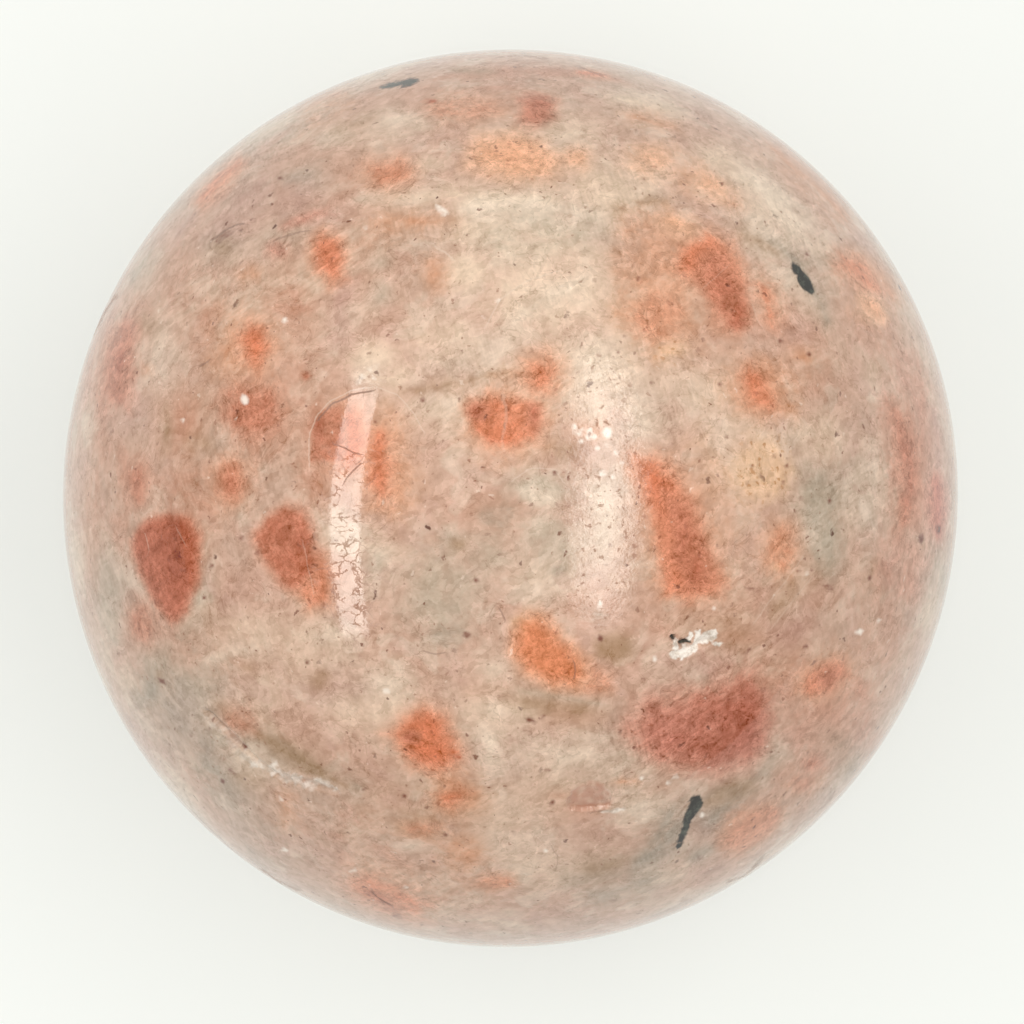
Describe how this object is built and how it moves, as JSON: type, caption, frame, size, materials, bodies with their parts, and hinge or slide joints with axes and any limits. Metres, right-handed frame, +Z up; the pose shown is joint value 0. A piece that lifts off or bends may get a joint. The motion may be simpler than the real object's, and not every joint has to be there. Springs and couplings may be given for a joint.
{
  "type": "sunstone sphere",
  "caption": "Polished ball of orange-flecked feldspar with a small ground flat at its foot, a chip, a flake scar and a short fracture.",
  "frame": {"origin": "middle of the ground flat at the foot of the ball, on the surface it stands on", "axes": "+Z up through the ball's centre, +Y towards the top of the picture, +X towards its right edge"},
  "size_m": [0.0599, 0.0601, 0.0597],
  "materials": {
    "sunstone": "hand-polished feldspar, glossy"
  },
  "bodies": {
    "root": {"sunstone_sphere": "sunstone"}
  },
  "joints": []
}
